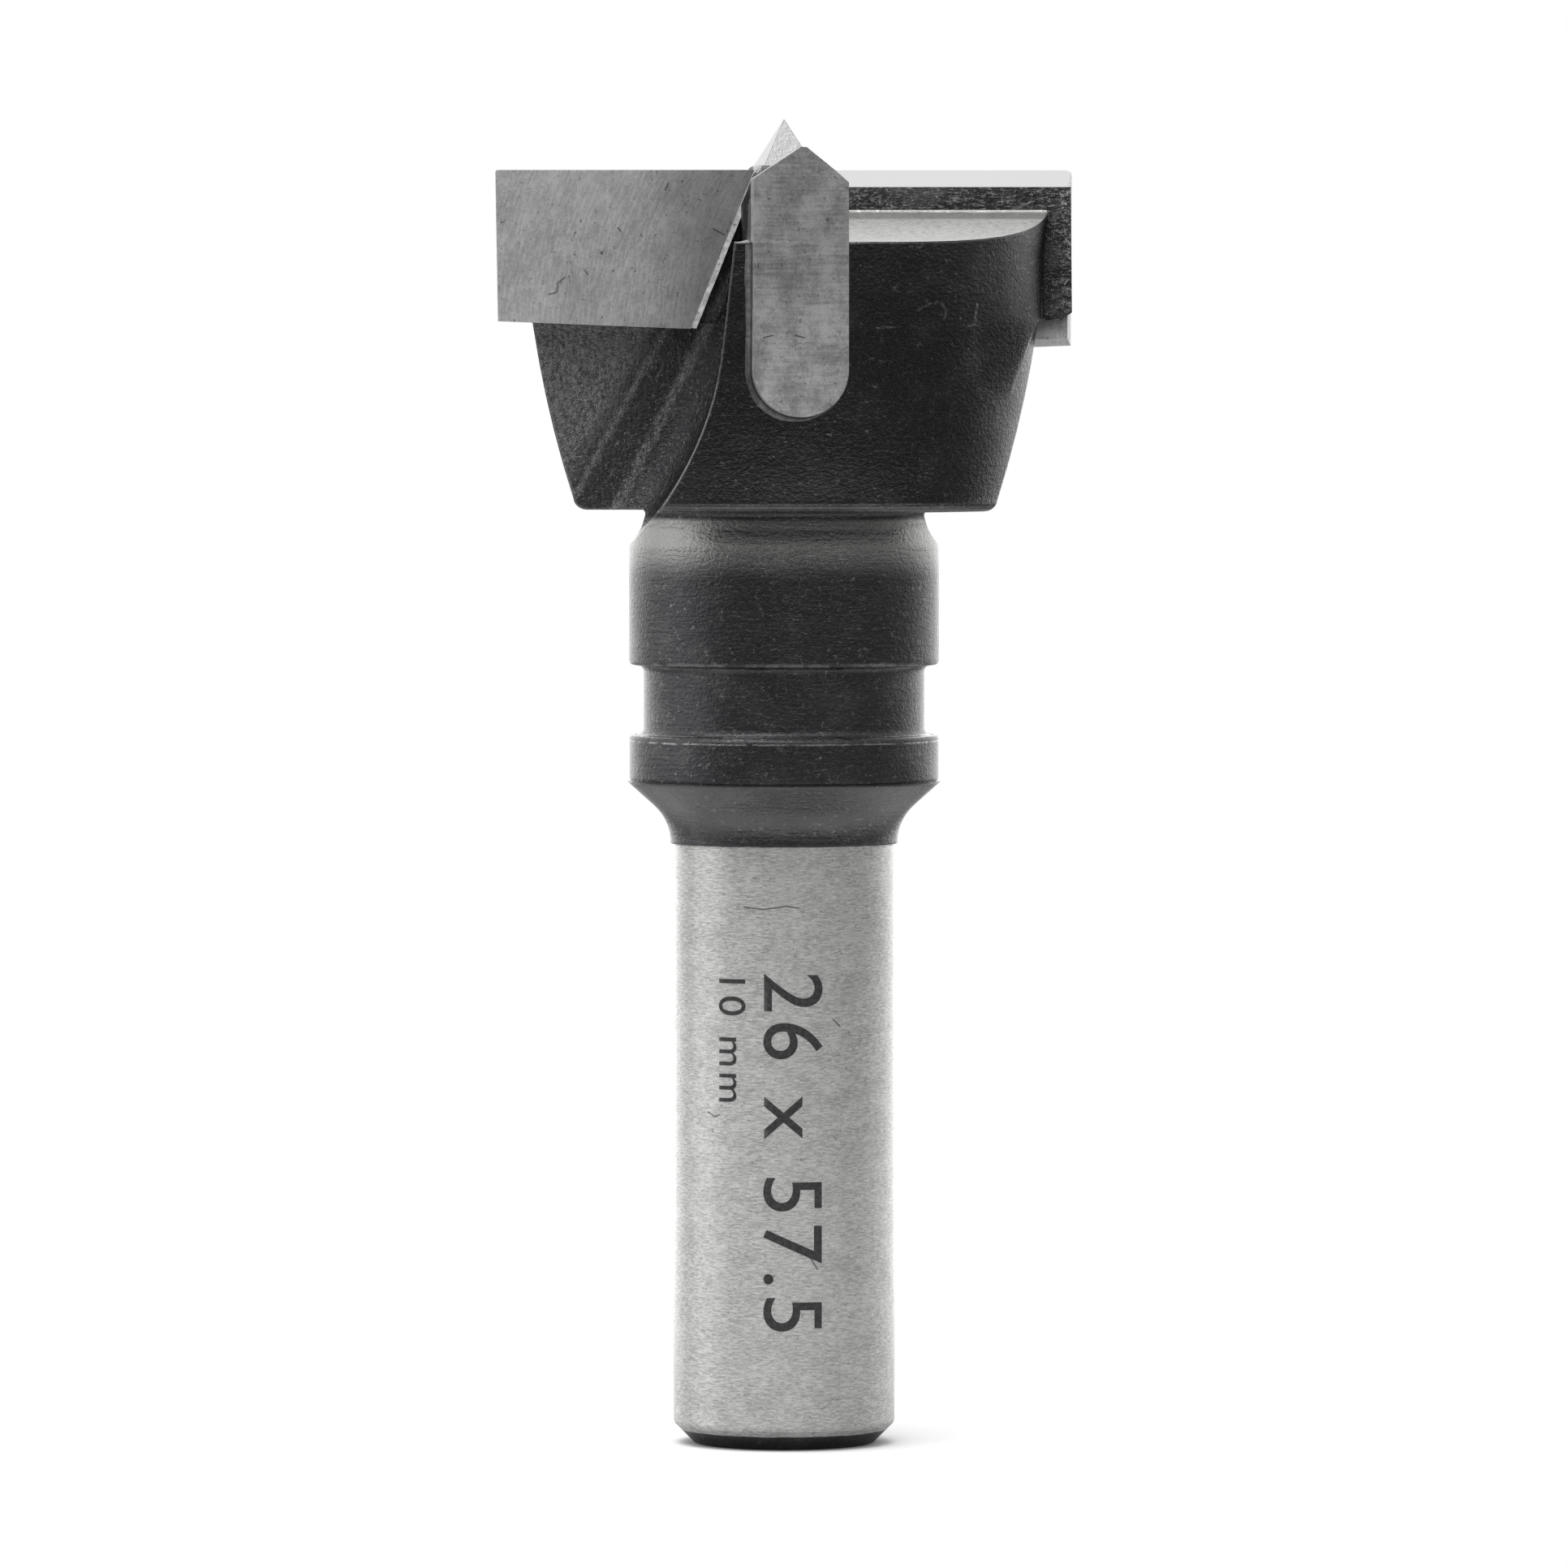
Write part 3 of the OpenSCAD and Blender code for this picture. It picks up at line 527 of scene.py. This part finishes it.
def makeEndSeam(name, side, degrees, material):
    # Bright seam of solder along the inner end of a plate, a ridge that stands out from the rake face; its
    # near-white colour is painted highlight, for the light that the plate's end catches
    work = bmesh.new()
    lean = math.tan(math.radians(rakeFace["innerLean"]))
    rings = []
    for i in range(seam["steps"] + 1):
        down = seam["from"] + (seam["lengths"][side] - seam["short"]) * i / seam["steps"]
        edge = -rakeFace["innerX"] - down * lean
        wide = seam["wide"] + seam["waver"] * math.sin(i * seam["waverStep"])
        # across from the plate's end, and back from its rake face
        profile = [(-0.02, 0.01), (0.0, -0.005), (wide, -0.15), (wide + 0.02, 0.05), (-0.02, 0.3)]
        points = [rakePoint(edge + across, back, down) for across, back in profile]
        rings.append([work.verts.new(turnAbout(degrees) @ point * mm) for point in points])
    skin(work, rings, closed=True)
    for end in (rings[0], rings[-1]):
        work.faces.new(end)
    return newPiece(name, work, material, smooth=False)


# Silver solder as it ran and set: lumpy and soft in its shine; round the spurs dull grey with oxide and
# darkened further as painted shade, at the plates' ends near white as painted highlight

solderLooks = {
    # dull grey solder round the spurs: oxide, and darker as painted shade for the soft dark band round them
    "oxidisedSolderAndShade": {"dark": "#666666", "light": "#838382", "metallic": 1.0},
    # near-white solder at the plates' ends: its brightness is painted highlight
    "solderWithPaintedHighlight": {"dark": "#c4c4c3", "light": "#f6f6f5", "metallic": 0.6},
}
solderSkin = {
    # features per mm on each axis, detail, roughness
    "lumps": ((3.0, 3.0, 3.0), 4.0, 0.6), "pores": ((6.0, 6.0, 6.0), 2.0, 0.8),
    "poreTone": "#3c3c3c", "roughness": 0.42, "bumpDepth": 0.05,  # mm
}


def makeSolder(name, look, shared):
    material, add = startMaterial(name)
    place = placeInMm(add)
    lumps = texture(add, place, *shared["lumps"])
    colour = add("mixColour", add("rise", lumps, 0.35, 0.7), toLinear(look["dark"]), toLinear(look["light"]))
    pores = add("rise", texture(add, place, *shared["pores"]), 0.38, 0.33)
    colour = add("mixColour", add("multiply", pores, 0.6), colour, toLinear(shared["poreTone"]))
    add("materialOutput", add("principled", more={
        "Base Color": colour, "Metallic": look["metallic"], "Roughness": shared["roughness"],
        "Normal": add("bump", lumps, 0.6, shared["bumpDepth"] * mm)}))
    return material


spurBead = {
    "halfWidth": 2.1, "low": 46.4, "top": 54.0, "width": 0.34, "height": 0.5, "straightStep": 0.5,  # mm
    "lap": 0.01, "root": 0.03,  # mm over the flank's end of the bead, and down beside the spur
    "turn": 3.4, "steps": 48, "rings": 6,  # degrees round the axis; points round the foot and across the bead
}


def makeSpurBead(name, bead, degrees, material):
    # Fillet of solder between the turned flank and the sides of a spur, wider on the left than on the right
    r, step = bead["halfWidth"], bead["straightStep"]
    straight = [bead["top"] - i * step for i in range(int((bead["top"] - bead["low"] - r) / step))]
    outline = [(-r, z, -1.0, 0.0) for z in straight]  # place on the spur's outline and the way out from it
    for i in range(bead["steps"] + 1):
        a = math.pi + math.pi * i / bead["steps"]
        outline.append((r * math.cos(a), bead["low"] + r + r * math.sin(a), math.cos(a), math.sin(a)))
    outline += [(r, z, 1.0, 0.0) for z in reversed(straight)]
    turn = turnAbout(bead["turn"] + degrees)
    work = bmesh.new()
    rows = []
    for number, (x, z, nx, nz) in enumerate(outline):
        uneven = 1.0 + 0.05 * math.sin(number * 0.7) + 0.06 * math.sin(number * 0.31 + 1.0)
        width = bead["width"] * uneven * (0.72 - 0.28 * math.tanh(3 * nx))
        points = []
        for k in range(bead["rings"] + 1):
            t = math.pi / 2 * k / bead["rings"]
            out = width * (1 - math.sin(t)) - bead["lap"]
            high = bead["height"] * uneven * (1 - math.cos(t)) - bead["root"] * (k == 0)
            px, pz = x + nx * out, z + nz * out
            points.append((px, -(math.sqrt(flankRadius(pz) ** 2 - px ** 2) + high), pz))
        rows.append([work.verts.new(turn @ Vector(point) * mm) for point in points])
    skin(work, rows)
    return newPiece(name, work, material)


# Marking burnt into the ground steel by a laser: matt dark grey, a little uneven
markLook = {"dark": "#333333", "light": "#4c4c4c", "metallic": 0.2, "roughness": 0.6,
            "burn": ((6.0, 6.0, 6.0), 3.0, 0.7)}  # features per mm on each axis, detail, roughness


def makeBurntSteel(look):
    material, add = startMaterial("laserBurntSteel")
    burn = add("rise", texture(add, placeInMm(add), *look["burn"]), 0.35, 0.7)
    add("materialOutput", add("principled", more={
        "Base Color": add("mixColour", burn, toLinear(look["dark"]), toLinear(look["light"])),
        "Metallic": look["metallic"], "Roughness": look["roughness"]}))
    return material


marks = [
    # plain sizes, read downwards: text, cap height, place of its base line across the front, top end; mm
    {"name": "size_mark_large", "text": "26 x 57.5",
     "height": 2.7, "base": -0.9, "top": 21.6, "spacing": 1.12},
    {"name": "size_mark_small", "text": "10 mm",
     "height": 1.35, "base": -3.1, "top": 21.6, "spacing": 1.15},
]
markFit = {
    "capShare": 0.7,  # of the font's size
    "radius": 5.012, "cut": 0.25,  # mm
    "cuts": (-4, 16),  # steps of a cut, from below the base line to above the letters
}


def makeMark(mark, fit, material):
    font = bpy.data.curves.new(mark["name"], "FONT")
    font.body = mark["text"]
    font.size = mark["height"] / fit["capShare"] * mm
    font.space_character = mark["spacing"]
    holder = bpy.data.objects.new(mark["name"], font)
    bpy.context.collection.objects.link(holder)
    mesh = bpy.data.meshes.new_from_object(holder.evaluated_get(bpy.context.evaluated_depsgraph_get()))
    bpy.data.objects.remove(holder)
    work = bmesh.new()
    work.from_mesh(mesh)
    bpy.data.meshes.remove(mesh)
    for step in range(*fit["cuts"]):  # cuts across the letters, so that they bend with the shank
        bmesh.ops.bisect_plane(work, geom=work.verts[:] + work.edges[:] + work.faces[:],
                               plane_co=(0, step * fit["cut"] * mm, 0), plane_no=(0, 1, 0))
    radius = fit["radius"] * mm
    for vert in work.verts:
        angle = (mark["base"] * mm + vert.co.y) / radius
        vert.co = Vector((radius * math.sin(angle), -radius * math.cos(angle), mark["top"] * mm - vert.co.x))
    return newPiece(mark["name"], work, material)


solder = {name: makeSolder(name, look, solderSkin) for name, look in solderLooks.items()}
for side, degrees in (("left", 0), ("right", 180)):
    makeRibBlend("rib_blend_" + side, degrees, steel)
    makeEndSeam("seam_plate_" + side, side, degrees, solder["solderWithPaintedHighlight"])
for side, degrees in (("front", 0), ("rear", 180)):
    makeSpurBead("solder_spur_" + side, spurBead, degrees, solder["oxidisedSolderAndShade"])
burntSteel = makeBurntSteel(markLook)
for mark in marks:
    makeMark(mark, markFit, burntSteel)
print("pieces made")


# Stage: a small white table, a dark room in front, white walls at the sides and behind

stageSetup = {
    "cameraDistance": 500.0, "aim": (0.0, 0.0, 29.8), "frameWidth": 70.85, "sensor": 36.0,  # mm
    "cameraElevation": 2.1,  # degrees
    # the table shows its shadow within the second radius and is plain white to the camera beyond the third
    "tableRadius": 75.0, "shadowRadius": 16.0, "whiteRadius": 34.0,
    "tableShade": "#bcbcbc", "tableWhite": "#ffffff",
}


def makeTable(setup):  # matt white board, a little grey to the light that it throws up at the bit
    work = bmesh.new()
    bmesh.ops.create_circle(work, cap_ends=True, segments=96, radius=setup["tableRadius"] * mm)
    mesh = bpy.data.meshes.new("table")
    work.to_mesh(mesh)
    work.free()
    table = bpy.data.objects.new("table", mesh)
    bpy.context.collection.objects.link(table)
    material, add = startMaterial("whiteTable")
    seen = add("cameraRay")
    board = add("principled", more={
        "Base Color": add("mixColour", seen, toLinear(setup["tableShade"]), toLinear(setup["tableWhite"])),
        "Roughness": 0.9, "Specular IOR Level": 0.1})
    x, y = add("split", placeInMm(add))[:2]
    away = add("rise", length(add, x, y), setup["shadowRadius"], setup["whiteRadius"])
    add("materialOutput", add("mixShader", add("multiply", away, seen), board, add("emission")))
    mesh.materials.append(material)


def makeCamera(setup):
    camera = bpy.data.cameras.new("camera")
    camera.sensor_width = setup["sensor"]
    camera.lens = setup["sensor"] * setup["cameraDistance"] / setup["frameWidth"]
    camera.clip_start, camera.clip_end = 0.01, 10
    holder = bpy.data.objects.new("camera", camera)
    bpy.context.collection.objects.link(holder)
    tilt = math.radians(setup["cameraElevation"])
    away = Vector((0, -math.cos(tilt), math.sin(tilt))) * setup["cameraDistance"]
    holder.location = (Vector(setup["aim"]) + away) * mm
    holder.rotation_euler = (math.pi / 2 - tilt, 0, 0)
    bpy.context.scene.camera = holder


studio = {
    # grey of the room around the camera, by the turn from it towards +X, 0.5 being the camera's own side
    "around": [(0.0, 1.0), (0.12, 1.0), (0.145, 0.7), (0.165, 0.4), (0.185, 0.85), (0.23, 1.0), (0.278, 0.9),
               (0.322, 0.68), (0.338, 0.2), (0.4, 0.17), (0.5, 0.17), (0.7, 0.2), (0.78, 0.32), (0.82, 0.44),
               (0.87, 0.95), (1.0, 1.0)],
    "ceiling": 0.72, "ceilingFrom": 0.26, "ceilingTo": 0.44,  # sines of elevation
    "lowFrom": -0.04, "lowTo": -0.28, "lowShade": 0.88,
    "dimFrom": 0.68, "dimTo": 0.84, "dim": 0.5,  # part of the ceiling that is darker, and by how much
    "strength": 1.25, "behindFrom": 0.38, "behindTo": 0.46, "behindMore": 0.4,  # turns from the camera's side
    "white": (1, 1, 1, 1), "black": (0, 0, 0, 1),
}


def makeRoom(look):
    world = bpy.data.worlds.new("studio")
    bpy.context.scene.world = world
    world.use_nodes = True
    world.node_tree.nodes.clear()
    add = partial(addNode, world.node_tree)
    x, y, z = add("split", add("direction"))
    turn = add("multiply_add", add("arctan2", x, add("multiply", y, -1.0)), 0.5 / math.pi, 0.5)
    around = add("ramp", turn)
    stops = around.node.color_ramp.elements
    while len(stops) < len(look["around"]):
        stops.new(0.5)
    for stop, (at, grey) in zip(stops, look["around"]):
        stop.position = at
        stop.color = (grey, grey, grey, 1)
    dim = add("multiply", add("rise", turn, look["dimFrom"], look["dimFrom"] + 0.06),
              add("rise", turn, look["dimTo"], look["dimTo"] - 0.04))
    plain = (look["ceiling"],) * 3 + (1,)
    ceiling = add("mixColour", add("multiply", dim, look["dim"]), plain, look["black"])
    room = add("mixColour", add("rise", z, look["ceilingFrom"], look["ceilingTo"]), around, ceiling)
    below = add("rise", z, look["lowFrom"], look["lowTo"])
    room = add("mixColour", add("multiply", below, look["lowShade"]), room, look["black"])
    seen = add("maximum", add("cameraRay"), add("transmissionRay"))
    away = add("absolute", add("subtract", turn, 0.5))
    behind = add("multiply", add("rise", away, look["behindFrom"], look["behindTo"]), look["behindMore"])
    strength = add("multiply", add("add", behind, 1.0), look["strength"])
    add("worldOutput", add("background", add("mixColour", seen, room, look["white"]),
                           add("mixValue", seen, strength, 1.0)))


lamps = [
    # soft boxes: place, aim and size in mm, power in watts
    {"name": "topBox", "place": (-60, -90, 420), "aim": (0, 0, 40), "size": (300, 300), "power": 1.1},
]


def makeLamp(look):
    lamp = bpy.data.lights.new(look["name"], "AREA")
    lamp.shape = "RECTANGLE"
    lamp.size, lamp.size_y = (side * mm for side in look["size"])
    lamp.energy = look["power"]
    holder = bpy.data.objects.new(look["name"], lamp)
    bpy.context.collection.objects.link(holder)
    holder.location = Vector(look["place"]) * mm
    holder.rotation_euler = (Vector(look["place"]) - Vector(look["aim"])).to_track_quat("Z", "Y").to_euler()


makeTable(stageSetup)
makeCamera(stageSetup)
makeRoom(studio)
for lampLook in lamps:
    makeLamp(lampLook)
bpy.context.scene.view_settings.view_transform = "Standard"
print("stage set")

bpy.context.view_layer.update()
